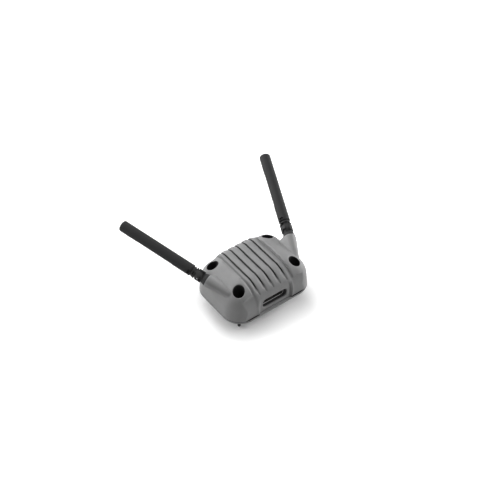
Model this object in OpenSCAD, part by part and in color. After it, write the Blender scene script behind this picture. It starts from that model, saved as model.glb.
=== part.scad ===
// Wireless receiver unit: a moulded shell on a base plate, held to its mounting surface by four long
// corner screws, with a multi-way connector at the front and two folding antennas.
// Millimetres. The origin is the centre of the four screws on the underside of the base plate,
// +X runs along the long side, -Y faces the connector side, and +Z is up.

/* [Housing] */
// Length of the housing at its foot
body_length = 90.8; // [88:0.2:100]
// Width of the housing at its foot
body_width = 68.5; // [66:0.5:78]
// Height of the rounded ends above the mounting surface
body_height = 33.4; // [32:0.2:38]
// Plan radius of the corners at the foot
corner_r = 18.4; // [17:0.2:22]
// Radius of the rolled-over shoulders
shoulder_r = 22.8; // [21:0.2:24]
// Radius of the tighter shoulder behind the ribbed field
back_shoulder_r = 11; // [8:0.5:12]
// Draft of the side walls in degrees
wall_draft = 5.5; // [3:0.5:8]
// Wall thickness of the shell
wall = 2.5; // [1.8:0.1:3]
// Thickness of the base plate
base_t = 1.6; // [1.2:0.1:3]
// Thickness of the sealing strip between plate and shell
seal_t = 0.5; // [0.4:0.1:1]

/* [Ribbed field] */
// How far the ribbed field lies below the rounded ends
field_drop = 1.9; // [1:0.1:2.4]
// Half width of the ribbed field
field_half = 21.5; // [20.5:0.1:22.5]
// Number of narrow grooves
groove_count = 5; // [1:2:5]
// Distance from groove to groove
groove_pitch = 7.67; // [6:0.1:7.9]
// Width of a groove
groove_w = 1.4; // [0.8:0.1:2.4]
// Depth of a groove
groove_depth = 1.4; // [0.6:0.1:1.8]
// Height at which the grooves end on both shoulders
groove_end_z = 22.6; // [20:0.2:26]
// Width of the shallow valley along each side of the field
valley_w = 3.2; // [2:0.1:3.6]
// Depth of the shallow valley
valley_depth = 0.7; // [0.4:0.1:1.2]

/* [Mounting screws] */
// Distance of the screws from the short sides of the foot
screw_inset_x = 14.4; // [13:0.1:15]
// Distance of the screws from the long sides of the foot
screw_inset_y = 14.5; // [13:0.1:15]
// Thread diameter of the mounting screws
screw_d = 3; // [2.5:0.5:4]
// Length of the screws under the head
screw_length = 25; // [20:1:30]
// Diameter of the plain neck between head and thread
screw_neck_d = 2.6; // [2.2:0.1:2.8]
// Diameter of the screw heads
head_d = 5.5; // [5:0.5:7]
// Height of the screw heads
head_h = 3; // [2:0.5:4]
// Diameter of the counterbores
counterbore_d = 10.5; // [10:0.5:12]
// Height of the screw seat above the mounting surface
seat_z = 7; // [6:0.5:10]
// Wall around each counterbore
tube_wall = 2.2; // [1.6:0.2:3]
// Thickness of the washers
washer_t = 1; // [0.6:0.2:1.6]
// Clearance of a screw in its hole, on the radius
screw_gap = 0.25; // [0.15:0.05:0.5]

/* [Front port] */
// Width of the shallow front recess
recess_w = 37.6; // [34:0.5:40]
// Depth of the front recess at the foot
recess_depth = 2.25; // [1.6:0.05:2.6]
// Radius between recess floor and side walls
recess_r = 2.2; // [1:0.2:3]
// Width of the port slot
slot_w = 27; // [26:0.5:30]
// Height of the port slot
slot_h = 10.4; // [9.6:0.2:12]
// Height of the middle of the port
port_z = 10.3; // [9:0.1:12]
// Width of the connector shell
shell_w = 25; // [22:0.5:25.5]
// Height of the connector shell
shell_h = 8.4; // [7.5:0.1:9]
// Sheet thickness of the connector shell
shell_t = 0.5; // [0.3:0.1:0.8]
// How far the connector face lies behind the recess floor
port_setback = 3.7; // [3:0.1:4.5]
// Depth of the connector shell in front of its flange
shell_depth = 6; // [5:0.5:8]
// Contacts in the upper row, with one less in the lower row
contact_count = 8; // [4:1:8]
// Distance between contacts
contact_pitch = 2.77; // [2.5:0.01:2.77]
// Diameter of a contact
contact_d = 1; // [0.8:0.1:1.2]

/* [Circuit board] */
// Gap between the edges of the main board and the screw bosses around it
board_gap = 0.5; // [0.3:0.1:1]
// Thickness of the main board
board_t = 1.6; // [1:0.2:2]
// Height of the standoffs on the base plate
standoff_h = 2.4; // [2:0.1:3]
// Distance of the standoffs from the short edges of the board
standoff_inset = 3.8; // [3:0.1:5]

/* [Antenna hinge] */
// Angle that each antenna leans outwards from the long axis of the screws, in degrees
antenna_splay = 22.6; // [15:0.2:30]
// Angle that each antenna rises, in degrees
antenna_rise = 14.8; // [10:0.2:20]
// How far the boss mouth stands out beyond the short side of the foot
mouth_out = 0.6; // [0:0.1:3]
// Distance of the boss mouth behind the middle
mouth_y = 6.6; // [4:0.2:9]
// How far the middle of the boss mouth lies below the rounded ends
mouth_drop = 3.3; // [2:0.1:4]
// Diameter of the boss mouth
mouth_d = 11.6; // [11:0.2:13]
// Diameter of the collar flange
collar_d = 10.8; // [10:0.2:11]
// Height of the conical collar flange
collar_h = 3; // [1.6:0.2:3]
// Diameter of the collar shank in the boss
shank_d = 7.6; // [7.4:0.1:8]
// Length of the collar shank
shank_length = 6; // [5:0.5:7]
// Diameter of the swivel stem
stem_d = 5; // [4.6:0.1:5.2]
// Diameter of the swivel ring
swivel_d = 10.8; // [10:0.1:11.2]
// Diameter of the waist under the swivel ring
waist_d = 9.2; // [8.4:0.2:9.6]
// Height of the waist above the boss mouth
waist_top = 4.8; // [4.4:0.1:5]
// Height of the hinge pin above the boss mouth
pin_s = 8.3; // [8.2:0.1:9]
// Radius of the rounded hinge ears
ear_r = 5.3; // [5:0.1:5.6]
// Radius of the round end of the hinge tongue
tongue_r = 3.9; // [3.4:0.1:4]
// Thickness of the hinge tongue
tongue_w = 4.2; // [3.6:0.2:5]
// Diameter of the hinge pin
pin_d = 2.5; // [2:0.1:3]
// Running clearance of turning parts, on the radius
running_gap = 0.05; // [0.03:0.01:0.08]

/* [Antenna barrel] */
// Distance of the barrel foot from the boss mouth
barrel_s = 16.5; // [16:0.5:19]
// Length of the barrel
barrel_length = 77; // [60:0.5:90]
// Diameter of the barrel at its foot
barrel_d = 10.7; // [10.4:0.1:11.2]
// Diameter of the barrel near its tip
barrel_tip_d = 10.4; // [9.4:0.1:10.4]
// Radius of the barrel's tip edge
tip_r = 2.2; // [1:0.2:3]
// Wall of the barrel
barrel_wall = 1.45; // [1.2:0.05:1.6]
// Diameter of the neck under the barrel
neck_d = 8; // [7:0.2:9]
// Length of the spigot inside the barrel
spigot_length = 6; // [4:0.5:10]
// Diameter of the radiator tube
dipole_d = 6; // [5:0.2:6.6]
// Length of the radiator tube
dipole_length = 28; // [22:1:30]
// Length of the radiator rod above the tube
rod_length = 28; // [20:1:30]

/* [Hidden] */
$fn = 64;

// Seam between the base plate, the seal and the shell
seam_z = base_t + seal_t;
// How far the sealing strip stays behind the outside face
seal_setback = 0.3;
seal_w = 7;
// Half spans of the corner centres in plan
corner_x = body_length / 2 - corner_r;
corner_y = body_width / 2 - corner_r;
// Centre of the shoulder arc, measured from a corner centre and from the mounting surface
arc_z = body_height - shoulder_r;
arc_r = corner_r - shoulder_r * cos(wall_draft)
    - (arc_z + shoulder_r * sin(wall_draft)) * tan(wall_draft);
// Centre line of the tighter shoulder behind the ribbed field, and its half length
back_z = body_height - field_drop - back_shoulder_r;
back_y = body_width / 2 - back_shoulder_r * cos(wall_draft)
    - (back_z + back_shoulder_r * sin(wall_draft)) * tan(wall_draft);
back_half = 15;
// How much further forwards the ribbed field rolls over than the rounded ends
field_shift = 0.8;
// Wall left under the grooves
field_web = 1.1;
// Steps along the shoulder arc and facets of each rounded corner
arc_steps = 14;
corner_fn = 56;
// Overlap of cutting shapes past the faces that they cut
cut = 1;

// Spacing of the mounting screws, and the tubes around them
screw_pitch_x = body_length - 2 * screw_inset_x;
screw_pitch_y = body_width - 2 * screw_inset_y;
tube_d = counterbore_d + 2 * tube_wall;
tube_gap = 0.6;

// Screw bosses for the base plate: four near the screws and one at each end
boss_d = 6;
boss_shift = 7;
boss_inset = 5.75;
end_boss_inset = 5.1;
boss_x = screw_pitch_x / 2 - boss_shift;
boss_y = body_width / 2 - boss_inset;
end_boss_x = body_length / 2 - end_boss_inset;
cover_screw_d = 2.5;
cover_screw_length = 8;
cover_head_d = 4.6;
cover_head_h = 1.2;

// Board between the bosses, and its stack above the base plate
board_length = 2 * (end_boss_x - boss_d / 2 - board_gap);
board_width = 2 * (boss_y - boss_d / 2 - board_gap);
board_z = base_t + standoff_h;
board_top = board_z + board_t;
standoff_d = 4.6;
standoff_margin = 2.9;
standoff_x = board_length / 2 - standoff_inset;
standoff_y = (screw_pitch_y - tube_d - standoff_d) / 2 - tube_gap - standoff_margin;
board_screw_d = 2;
board_head_d = 3.8;
board_head_h = 1.5;
board_screw_length = 3.4;

// Connector: the recess floor, its face, its flange and its body behind the flange
recess_y = body_width / 2 - recess_depth;
port_face_y = -recess_y + port_setback;
flange_y = port_face_y + shell_depth;
flange_t = 0.8;
flange_margin = 2;
port_body_depth = 10;
shell_corner_r = 2.6;
row_spacing = 2.84;
contact_length = 5.2;
contact_end = 1;
insulator_gap = 0.05;
insulator_step = 0.6;
gasket_t = 2.4;
gasket_margin = 1.5;

// Antenna: stations are distances along the antenna axis from the boss mouth
mouth = [body_length / 2 + mouth_out, mouth_y, body_height - mouth_drop];
antenna_dir = [sin(antenna_splay) * cos(antenna_rise), cos(antenna_splay) * cos(antenna_rise),
    sin(antenna_rise)];
collar_top_d = 9.6;
swivel_foot = collar_h + 0.2;
slot_floor = pin_s - tongue_r - 0.2;
ear_gap = 0.2;
swivel_top = pin_s + ear_r;
ring_groove_s = swivel_top - 3.6;
ring_groove_h = 0.7;
ring_groove_depth = 0.45;
neck_foot = swivel_top + ear_gap;
shank_gap = 0.05;
clip_room = 2.6;
clip_t = 0.6;
clip_s = -shank_length - 0.3;
clip_d = 7;
stem_groove_depth = 0.6;
o_ring_t = 0.8;
o_ring_s = -2;
coax_d = 1.8;
duct_gap = 0.1;
// Where the cable bends out of the boss, and where it enters the inside of the housing
coax_bend = mouth - (shank_length + clip_room + coax_d / 4) * antenna_dir;
end_arc = [corner_x + arc_r, coax_bend[1], arc_z];
coax_inside = end_arc + 0.62 * (coax_bend - end_arc);
coax_joint_d = coax_d + 0.06;
// Ends of the fairing and of its web
fairing_run = [8.2, 19.6, 5];
fairing = mouth - fairing_run;
fairing_r = 3.3;
web_run = [8.2, -1, 5];
web = mouth - web_run;
web_r = 3.2;
spigot_gap = 0.05;

// ---------- Shared shapes ----------

// Copies at the four mounting screws
module at_screws() {
    for (x = [-1, 1], y = [-1, 1]) {
        translate([x * screw_pitch_x / 2, y * screw_pitch_y / 2, 0]) children();
    }
}

// Copies at the six screws of the base plate
module at_cover_screws() {
    for (x = [-1, 1], y = [-1, 1]) {
        translate([x * boss_x, y * boss_y, 0]) children();
    }
    for (x = [-1, 1]) {
        translate([x * end_boss_x, 0, 0]) children();
    }
}

// Copies at the four board standoffs
module at_standoffs() {
    for (x = [-1, 1], y = [-1, 1]) {
        translate([x * standoff_x, y * standoff_y, 0]) children();
    }
}

// Upright slab with rounded corners about the corner centres of the housing
module plan_slab(r, z_low, z_high) {
    translate([0, 0, z_low]) {
        linear_extrude(z_high - z_low) {
            square([2 * corner_x + 2 * r, 2 * corner_y], center = true);
            square([2 * corner_x, 2 * corner_y + 2 * r], center = true);
            for (x = [-1, 1], y = [-1, 1]) {
                translate([x * corner_x, y * corner_y]) circle(r);
            }
        }
    }
}

// Points of the outside profile of a corner, from its foot over the shoulder to the corner's own axis
function corner_profile(inset, z_low) =
    let (r = shoulder_r - inset,
        last = acos(max(-1, min(1, -arc_r / r))),
        foot_r = arc_r + r * cos(wall_draft) + (arc_z + r * sin(wall_draft) - z_low) * tan(wall_draft))
    concat([[0, z_low], [foot_r, z_low]],
        [for (i = [0:arc_steps])
            let (a = wall_draft + (last - wall_draft) * i / arc_steps)
            [max(0, arc_r + r * cos(a)), arc_z + r * sin(a)]]);

// The housing's whole form, drawn in by an inset: four rounded corners and the crowned top between them
module body_form(inset, z_low) {
    r = shoulder_r - inset;
    hull() {
        for (x = [-1, 1], y = [-1, 1]) {
            translate([x * corner_x, y * corner_y, 0]) {
                rotate_extrude($fn = corner_fn) polygon(corner_profile(inset, z_low));
            }
        }
        for (a = [84, 90]) {
            translate([0, 0, arc_z + r * sin(a) - 0.01]) {
                cube([2 * (corner_x + arc_r + r * cos(a)), 2 * (corner_y + arc_r + r * cos(a)), 0.02],
                    center = true);
            }
        }
        translate([-back_half, back_y, back_z]) {
            rotate([0, 90, 0]) cylinder(h = 2 * back_half, r = back_shoulder_r - inset, $fn = corner_fn);
        }
    }
}

// Points of an arc in the Y-Z plane
function arc(y, z, r, from, to) =
    [for (i = [0:2 * arc_steps])
        let (a = from + (to - from) * i / (2 * arc_steps))
        [y + r * cos(a), z + r * sin(a)]];

// Everything above a surface sunk by a given depth under the ribbed field, down to a given height
module above_field(width, sink, low_z) {
    far = body_width / 2 + cut;
    front_y = -corner_y - arc_r - field_shift;
    rotate([90, 0, 90]) {
        translate([0, 0, -width / 2]) {
            linear_extrude(width) {
                difference() {
                    translate([-far, low_z]) square([2 * far, body_height + cut - low_z]);
                    polygon(concat([[-far + 2 * cut, 0]],
                        arc(front_y, arc_z - field_drop, shoulder_r - sink, 180, 90),
                        arc(back_y, back_z, back_shoulder_r - sink, 90, 0),
                        [[far - 2 * cut, 0]]));
                }
            }
        }
    }
}

// Rounded rectangle in the X-Z plane, run backwards from y_front by depth
module port_prism(width, height, r, y_front, depth) {
    translate([0, y_front, port_z]) {
        rotate([-90, 0, 0]) {
            linear_extrude(depth) {
                square([width - 2 * r, height], center = true);
                square([width, height - 2 * r], center = true);
                for (x = [-1, 1], y = [-1, 1]) {
                    translate([x * (width / 2 - r), y * (height / 2 - r)]) circle(r);
                }
            }
        }
    }
}

// Puts its children on the antenna axis of one side: local Z runs from the boss mouth to the antenna tip
module on_antenna(side) {
    mirror([side < 0 ? 1 : 0, 0, 0]) {
        translate(mouth) rotate([0, 0, -antenna_splay]) rotate([antenna_rise - 90, 0, 0]) children();
    }
}

// Cylinder from station a to station b
module station(a, b, d) {
    translate([0, 0, a]) cylinder(h = b - a, d = d);
}

// Puts its children on one side; they are drawn for the right side
module mirrored(side) {
    mirror([side < 0 ? 1 : 0, 0, 0]) children();
}

// Round rod between two points
module rod_between(a, b, d) {
    run = b - a;
    translate(a) {
        rotate([0, acos(run[2] / norm(run)), atan2(run[1], run[0])]) cylinder(h = norm(run), d = d);
    }
}

// ---------- Housing ----------

// Fairing that carries one antenna: it runs forwards down into the shoulder, with a web on its inner side
module fairing(side) {
    hull() {
        on_antenna(side) station(-2, 0, mouth_d);
        translate([side * fairing[0], fairing[1], fairing[2]]) sphere(fairing_r, $fn = 32);
        translate([side * web[0], web[1], web[2]]) sphere(web_r, $fn = 32);
    }
}

module upper_housing() {
    color("#8c8c8c") {
        difference() {
            union() {
                difference() {
                    body_form(0, seam_z);
                    body_form(wall, seam_z - cut);
                }
                intersection() {
                    body_form(wall / 2, seam_z);
                    union() {
                        at_screws() station(seam_z, body_height, tube_d);
                        at_cover_screws() station(seam_z, body_height, boss_d);
                        above_field(2 * field_half + wall, groove_depth + field_web, arc_z);
                        translate([-recess_w / 2 - wall, -body_width / 2, seam_z]) {
                            cube([recess_w + 2 * wall, body_width / 2 - recess_y + wall, body_height]);
                        }
                    }
                }
                fairing(-1);
                fairing(1);
            }
            at_screws() {
                station(seat_z, body_height + 2 * mouth_d, counterbore_d);
                station(seam_z - cut, seat_z + cut, screw_d + 2 * screw_gap);
            }
            at_cover_screws() station(seam_z - cut, base_t + cover_screw_length, cover_screw_d);
            ribbed_field();
            front_recess();
            port_prism(slot_w, slot_h, slot_h / 2 - 1, -body_width / 2 - cut, body_width / 4);
            for (side = [-1, 1]) {
                on_antenna(side) {
                    station(-shank_length - clip_room, cut, shank_d + 2 * shank_gap);
                    station(0, collar_h, mouth_d);
                }
                mirrored(side) {
                    translate(coax_bend) sphere(d = coax_d + 2 * duct_gap + 0.02);
                    rod_between(coax_bend, coax_inside, coax_d + 2 * duct_gap);
                }
            }
        }
    }
}

// The sunk ribbed field with its grooves and the shallow valley along each side
module ribbed_field() {
    last = (groove_count - 1) / 2;
    above_field(2 * field_half, 0, arc_z);
    for (i = [-last:last]) {
        translate([i * groove_pitch, 0, 0]) above_field(groove_w, groove_depth, groove_end_z);
    }
    for (side = [-1, 1]) {
        translate([side * (field_half - valley_w / 2), 0, 0]) {
            above_field(valley_w, valley_depth, groove_end_z);
        }
    }
}

// Shallow recess in the front wall from the seam upwards, with hollow-rounded side walls
module front_recess() {
    half = recess_w / 2;
    translate([0, 0, seam_z - cut]) {
        linear_extrude(body_height) {
            translate([-half, -body_width]) square([recess_w, body_width - recess_y - recess_r]);
            translate([-half + recess_r, -body_width]) {
                square([recess_w - 2 * recess_r, body_width - recess_y]);
            }
            for (x = [-1, 1]) {
                translate([x * (half - recess_r), -recess_y - recess_r]) circle(recess_r);
            }
        }
    }
}

module base_plate() {
    color("#6f6f6f") {
        difference() {
            plan_slab(corner_r, 0, base_t);
            at_screws() station(-cut, base_t + cut, screw_d + 2 * screw_gap);
            at_cover_screws() {
                station(-cut, base_t + cut, cover_screw_d + 0.4);
                station(-cut, cover_head_h + 0.05, cover_head_d + 0.3);
            }
        }
    }
}

// Flat sealing ring under every foot of the shell
module base_seal() {
    color("#1c1c1c") {
        difference() {
            union() {
                difference() {
                    plan_slab(corner_r - seal_setback, base_t, seam_z);
                    plan_slab(corner_r - seal_w, base_t - cut, seam_z + cut);
                }
                at_screws() station(base_t, seam_z, tube_d);
            }
            translate([-recess_w / 2 + seal_setback, -body_width, base_t - cut]) {
                cube([recess_w - 2 * seal_setback, body_width - recess_y + seal_setback, cut + seal_t + cut]);
            }
            at_screws() station(base_t - cut, seam_z + cut, screw_d + 2 * screw_gap);
            at_cover_screws() station(base_t - cut, seam_z + cut, cover_screw_d + 0.4);
        }
    }
}

// ---------- Fasteners ----------

module cover_screws() {
    color("#5a5a5a") {
        at_cover_screws() {
            difference() {
                union() {
                    station(0.05, cover_head_h, cover_head_d);
                    station(cover_head_h - 0.1, base_t + cover_screw_length - 0.6, cover_screw_d - 0.05);
                }
                station(-cut, 0.8, 1.6);
            }
        }
    }
}

module mounting_screws() {
    seat = seat_z + washer_t;
    tip = seat - screw_length;
    thread_top = -0.2;
    chamfer = screw_d / 6;
    color("#262626") {
        at_screws() {
            difference() {
                rotate_extrude() {
                    polygon([[0, tip], [screw_d / 2 - chamfer, tip], [screw_d / 2, tip + chamfer],
                        [screw_d / 2, thread_top], [screw_neck_d / 2, thread_top],
                        [screw_neck_d / 2, seat], [head_d / 2, seat], [head_d / 2, seat + head_h - 0.3],
                        [head_d / 2 - 0.3, seat + head_h], [0, seat + head_h]]);
                }
                translate([0, 0, seat + head_h / 2]) cylinder(h = head_h, d = head_d * 0.5, $fn = 6);
            }
        }
    }
}

module mounting_washers() {
    color("#8d8d8d") {
        at_screws() {
            difference() {
                station(seat_z, seat_z + washer_t, counterbore_d - 1.5);
                station(seat_z - cut, seat_z + washer_t + cut, screw_d + 2 * screw_gap);
            }
        }
    }
}

// ---------- Electronics ----------

module main_board() {
    color("#1f5a38") {
        difference() {
            translate([-board_length / 2, -board_width / 2, board_z]) {
                cube([board_length, board_width, board_t]);
            }
            at_screws() station(board_z - cut, board_top + cut, tube_d + 2 * tube_gap);
            at_standoffs() station(board_z - cut, board_top + cut, board_screw_d + 0.2);
        }
    }
}

module board_standoffs() {
    color("#b08d3e") {
        at_standoffs() {
            difference() {
                station(base_t, board_z, standoff_d);
                station(base_t - cut, board_z + cut, board_screw_d);
            }
        }
    }
}

module board_screws() {
    color("#9c9c9c") {
        at_standoffs() {
            difference() {
                union() {
                    station(board_top, board_top + board_head_h, board_head_d);
                    station(board_top - board_screw_length, board_top + 0.1, board_screw_d - 0.05);
                }
                translate([0, 0, board_top + board_head_h / 2]) {
                    cylinder(h = board_head_h, d = board_screw_d * 0.75, $fn = 6);
                }
            }
        }
    }
}

// Place and size of the shielded radio section
can_size = [30, 0.32 * board_width, 4];
can_edge = 1.5;
can_y = (board_width - can_size[1]) / 2 - can_edge;
can_t = 0.3;

module shield_can() {
    color("#b9b9b9") {
        translate([0, can_y, board_top]) {
            difference() {
                translate([-can_size[0] / 2, -can_size[1] / 2, 0]) cube(can_size);
                translate([-can_size[0] / 2 + can_t, -can_size[1] / 2 + can_t, -cut]) {
                    cube([can_size[0] - 2 * can_t, can_size[1] - 2 * can_t, can_size[2] - can_t + cut]);
                }
            }
        }
    }
}

// Side, height and place of the processor's package
chip_side = 12;
chip_h = 1.4;
chip_gap = 1.5;
chip_y = can_y - (can_size[1] + chip_side) / 2 - chip_gap;

module processor_chip() {
    color("#222222") {
        translate([-chip_side / 2, chip_y - chip_side / 2, board_top]) {
            cube([chip_side, chip_side, chip_h]);
        }
    }
}

// Miniature sockets for the two antenna cables, outboard of the shield can
socket_x = can_size[0] / 2 + 4;
socket_y = can_y - can_size[1] / 2 - 2;
socket_d = 2.4;
socket_h = 1.2;
plug_d = 3;
plug_h = 1.1;

module at_sockets() {
    for (x = [-1, 1]) translate([x * socket_x, socket_y, board_top]) children();
}

module rf_sockets() {
    color("#c8a44a") at_sockets() station(0, socket_h, socket_d);
}

module rf_plugs() {
    color("#c8a44a") at_sockets() station(socket_h, socket_h + plug_h, plug_d);
}

// Cable from the radio socket through the duct in the shell and up inside the stem of the swivel
module coax(side) {
    plug_top = [socket_x, socket_y, board_top + socket_h + plug_h];
    above_plug = plug_top + [0, 0, coax_d];
    color("#2b2b2b") {
        on_antenna(side) station(-shank_length - clip_room, slot_floor, coax_d);
        mirrored(side) {
            rod_between(plug_top, above_plug, coax_d);
            rod_between(above_plug, coax_inside, coax_d);
            rod_between(coax_inside, coax_bend, coax_d);
            for (p = [above_plug, coax_inside, coax_bend]) translate(p) sphere(d = coax_joint_d);
        }
    }
}

module left_coax() { coax(-1); }
module right_coax() { coax(1); }

// ---------- Port ----------

module port_shell() {
    flange_w = shell_w + 2 * flange_margin;
    flange_h = shell_h + 2 * flange_margin;
    color("#a8a8a8") {
        difference() {
            union() {
                port_prism(shell_w, shell_h, shell_corner_r, port_face_y, shell_depth);
                port_prism(flange_w, flange_h, shell_corner_r, flange_y, flange_t);
            }
            port_prism(shell_w - 2 * shell_t, shell_h - 2 * shell_t, shell_corner_r - shell_t,
                port_face_y - cut, shell_depth + flange_t + 2 * cut);
            translate([-flange_w, flange_y - cut, 0]) cube([2 * flange_w, flange_t + 2 * cut, board_top]);
        }
    }
}

module contact_row(z, count, d, y_front, depth) {
    for (i = [0:count - 1]) {
        translate([(i - (count - 1) / 2) * contact_pitch, y_front, port_z + z]) {
            rotate([-90, 0, 0]) cylinder(h = depth, d = d, $fn = 24);
        }
    }
}

module port_insulator() {
    inset = shell_t + insulator_gap;
    color("#151515") {
        difference() {
            union() {
                port_prism(shell_w - 2 * inset, shell_h - 2 * inset, shell_corner_r - inset,
                    flange_y - insulator_step, flange_t + insulator_step + cut);
                translate([-shell_w / 2, flange_y + flange_t, board_top]) {
                    cube([shell_w, port_body_depth, port_z + shell_h / 2 - board_top]);
                }
            }
            contact_row(row_spacing / 2, contact_count, contact_d, flange_y - cut, port_body_depth);
            contact_row(-row_spacing / 2, contact_count - 1, contact_d, flange_y - cut, port_body_depth);
        }
    }
}

module port_contacts() {
    y_front = flange_y - contact_length;
    depth = contact_length + port_body_depth - contact_end;
    color("#cfae5a") {
        contact_row(row_spacing / 2, contact_count, contact_d, y_front, depth);
        contact_row(-row_spacing / 2, contact_count - 1, contact_d, y_front, depth);
    }
}

module port_gasket() {
    y_front = -recess_y + wall;
    color("#1a1a1a") {
        difference() {
            port_prism(slot_w + 2 * gasket_margin, slot_h + 2 * gasket_margin,
                slot_h / 2 - 1 + gasket_margin, y_front, gasket_t);
            port_prism(shell_w, shell_h, shell_corner_r, y_front - cut, gasket_t + 2 * cut);
        }
    }
}

// ---------- Antenna ----------

module collar(side) {
    groove = o_ring_t / 2 + 0.05;
    color("#2a2a2a") {
        on_antenna(side) {
            difference() {
                union() {
                    cylinder(h = collar_h, d1 = collar_d, d2 = collar_top_d);
                    station(-shank_length, 0.1, shank_d);
                }
                station(-shank_length - cut, collar_h + cut, stem_d + 2 * running_gap);
                difference() {
                    station(o_ring_s - groove, o_ring_s + groove, shank_d + cut);
                    station(o_ring_s - 2 * groove, o_ring_s + 2 * groove, shank_d - 2 * o_ring_t + 0.1);
                }
            }
        }
    }
}

module left_collar() { collar(-1); }
module right_collar() { collar(1); }

module o_ring(side) {
    t = o_ring_t - 0.06;
    color("#101010") {
        on_antenna(side) {
            translate([0, 0, o_ring_s]) {
                rotate_extrude() translate([(shank_d - o_ring_t) / 2 + 0.05, 0]) circle(d = t, $fn = 32);
            }
        }
    }
}

module left_o_ring() { o_ring(-1); }
module right_o_ring() { o_ring(1); }

// Stepped, forked knuckle that turns in the collar
module swivel(side) {
    stem_foot = clip_s - clip_t - 0.7;
    color("#2e2e2e") {
        on_antenna(side) {
            difference() {
                union() {
                    station(stem_foot, swivel_foot + 0.1, stem_d);
                    station(swivel_foot, waist_top + 0.1, waist_d);
                    intersection() {
                        station(waist_top, swivel_top, swivel_d);
                        union() {
                            station(waist_top, pin_s, swivel_d + cut);
                            translate([-swivel_d, 0, pin_s]) rotate([0, 90, 0]) {
                                cylinder(h = 2 * swivel_d, r = ear_r);
                            }
                        }
                    }
                }
                translate([-tongue_w / 2 - 0.1, -swivel_d, slot_floor]) {
                    cube([tongue_w + 0.2, 2 * swivel_d, swivel_top]);
                }
                translate([-swivel_d, 0, pin_s]) {
                    rotate([0, 90, 0]) cylinder(h = 2 * swivel_d, d = pin_d + 0.02);
                }
                station(stem_foot - cut, slot_floor + cut, coax_d + 0.1);
                difference() {
                    station(clip_s - clip_t - 0.05, clip_s + 0.05, stem_d + cut);
                    station(clip_s - 2 * clip_t - cut, clip_s + cut, stem_d - 2 * stem_groove_depth);
                }
                difference() {
                    station(ring_groove_s, ring_groove_s + ring_groove_h, swivel_d + cut);
                    station(ring_groove_s - cut, ring_groove_s + 2 * cut, swivel_d - 2 * ring_groove_depth);
                }
            }
        }
    }
}

module left_swivel() { swivel(-1); }
module right_swivel() { swivel(1); }

// Open retaining clip in the groove of the stem
module clip(side) {
    color("#777777") {
        on_antenna(side) {
            difference() {
                station(clip_s - clip_t, clip_s, clip_d);
                station(clip_s - 2 * clip_t, clip_s + clip_t, stem_d - 2 * stem_groove_depth + 0.04);
                translate([-1, 0, clip_s - 2 * clip_t]) cube([2, clip_d, 3 * clip_t]);
            }
        }
    }
}

module left_clip() { clip(-1); }
module right_clip() { clip(1); }

module hinge_pin(side) {
    length = swivel_d - 1.4;
    color("#8a8a8a") {
        on_antenna(side) {
            translate([-length / 2, 0, pin_s]) rotate([0, 90, 0]) cylinder(h = length, d = pin_d);
        }
    }
}

module left_hinge_pin() { hinge_pin(-1); }
module right_hinge_pin() { hinge_pin(1); }

// Round-ended tongue, neck and spigot, moulded in one piece
module tongue(side) {
    spigot_d = barrel_d - 2 * barrel_wall - 2 * spigot_gap;
    color("#2a2a2a") {
        on_antenna(side) {
            difference() {
                union() {
                    translate([-tongue_w / 2, 0, pin_s]) {
                        rotate([0, 90, 0]) cylinder(h = tongue_w, r = tongue_r);
                    }
                    translate([-tongue_w / 2, -neck_d / 2 + 0.4, pin_s]) {
                        cube([tongue_w, neck_d - 0.8, neck_foot - pin_s + 0.5]);
                    }
                    station(neck_foot, barrel_s, neck_d);
                    station(barrel_s - 0.1, barrel_s + spigot_length, spigot_d);
                }
                translate([-tongue_w, 0, pin_s]) {
                    rotate([0, 90, 0]) cylinder(h = 2 * tongue_w, d = pin_d + 2 * running_gap);
                }
                station(neck_foot, barrel_s + spigot_length + cut, coax_d);
            }
        }
    }
}

module left_tongue() { tongue(-1); }
module right_tongue() { tongue(1); }

// Tapered sleeve, closed and rounded at its tip
module sleeve(side) {
    top = barrel_s + barrel_length;
    foot_r = barrel_d / 2;
    end_r = barrel_tip_d / 2;
    bore_r = foot_r - barrel_wall;
    inner_r = end_r - barrel_wall;
    tip_arc = [for (i = [0:8])
        let (a = 90 * i / 8)
        [end_r - tip_r + tip_r * cos(a), top - tip_r + tip_r * sin(a)]];
    color("#333333") {
        on_antenna(side) {
            rotate_extrude() {
                polygon(concat([[bore_r, barrel_s], [foot_r, barrel_s]], tip_arc,
                    [[0, top], [0, top - 3], [inner_r, top - 3],
                     [inner_r, barrel_s + spigot_length + 1], [bore_r, barrel_s + spigot_length]]));
            }
        }
    }
}

module left_sleeve() { sleeve(-1); }
module right_sleeve() { sleeve(1); }

// Radiator: a tube standing on the spigot, with a rod held in its upper end
module dipole(side) {
    foot = barrel_s + spigot_length;
    top = foot + dipole_length;
    color("#c59a4a") {
        on_antenna(side) {
            difference() {
                station(foot, top, dipole_d);
                station(foot - cut, top - 2, dipole_d - 1);
            }
            station(top - 1, top + rod_length, 1.6);
        }
    }
}

module left_dipole() { dipole(-1); }
module right_dipole() { dipole(1); }

// ---------- Parts ----------

upper_housing();
base_plate();
base_seal();
cover_screws();
mounting_screws();
mounting_washers();
main_board();
board_standoffs();
board_screws();
shield_can();
processor_chip();
rf_sockets();
rf_plugs();
left_coax();
right_coax();
port_shell();
port_insulator();
port_contacts();
port_gasket();
left_collar();
right_collar();
left_o_ring();
right_o_ring();
left_clip();
right_clip();
left_swivel();
right_swivel();
left_hinge_pin();
right_hinge_pin();
left_tongue();
right_tongue();
left_sleeve();
right_sleeve();
left_dipole();
right_dipole();
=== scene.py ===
import math

import bpy
import numpy as np
from mathutils import Matrix, Vector


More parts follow.
